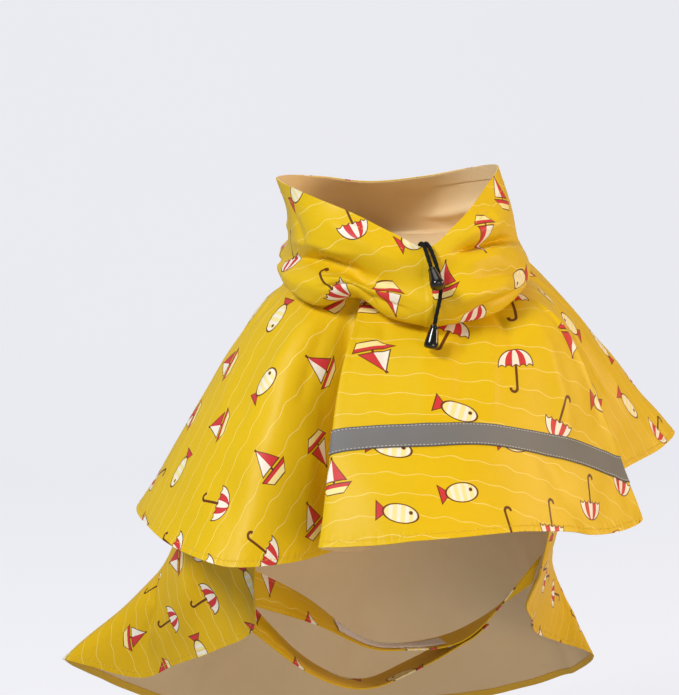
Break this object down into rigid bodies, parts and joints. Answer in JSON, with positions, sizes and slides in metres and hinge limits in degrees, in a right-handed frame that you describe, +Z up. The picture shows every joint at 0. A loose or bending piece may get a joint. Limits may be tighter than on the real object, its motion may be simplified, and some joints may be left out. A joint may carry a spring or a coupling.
{
  "type": "dog raincoat",
  "caption": "Pull-on dog raincoat of coated yellow cloth: pushed-back drawstring hood, flared cape with a big pleat and reflective tape, wide back panel and belly strap, shaped as worn",
  "frame": {"origin": "middle of the neck ring, where the wearer's neck holds the coat up", "axes": "+Z up, -Y the way the wearer faces, +X the wearer's left"},
  "size_m": [0.672, 0.6713, 0.6791],
  "materials": {
    "rain_cloth": "satin coated woven cloth",
    "reflective_tape": "satin retroreflective",
    "hook_and_loop": "matt pile",
    "cord": "matt braid",
    "bell": "gloss"
  },
  "bodies": {
    "root": {"cape": "rain_cloth", "body_panel": "rain_cloth", "body_hem_turning": "rain_cloth", "hood_left": "rain_cloth", "hood_right": "rain_cloth", "hood_channel_left": "rain_cloth", "hood_channel_right": "rain_cloth", "belly_strap_front": "rain_cloth", "belly_strap_rear": "rain_cloth", "reflective_tape": "reflective_tape", "loop_tape": "hook_and_loop", "hook_tape": "hook_and_loop", "cord_short": "cord", "cord_long": "cord", "bell_short": "bell", "bell_long": "bell"}
  },
  "joints": []
}
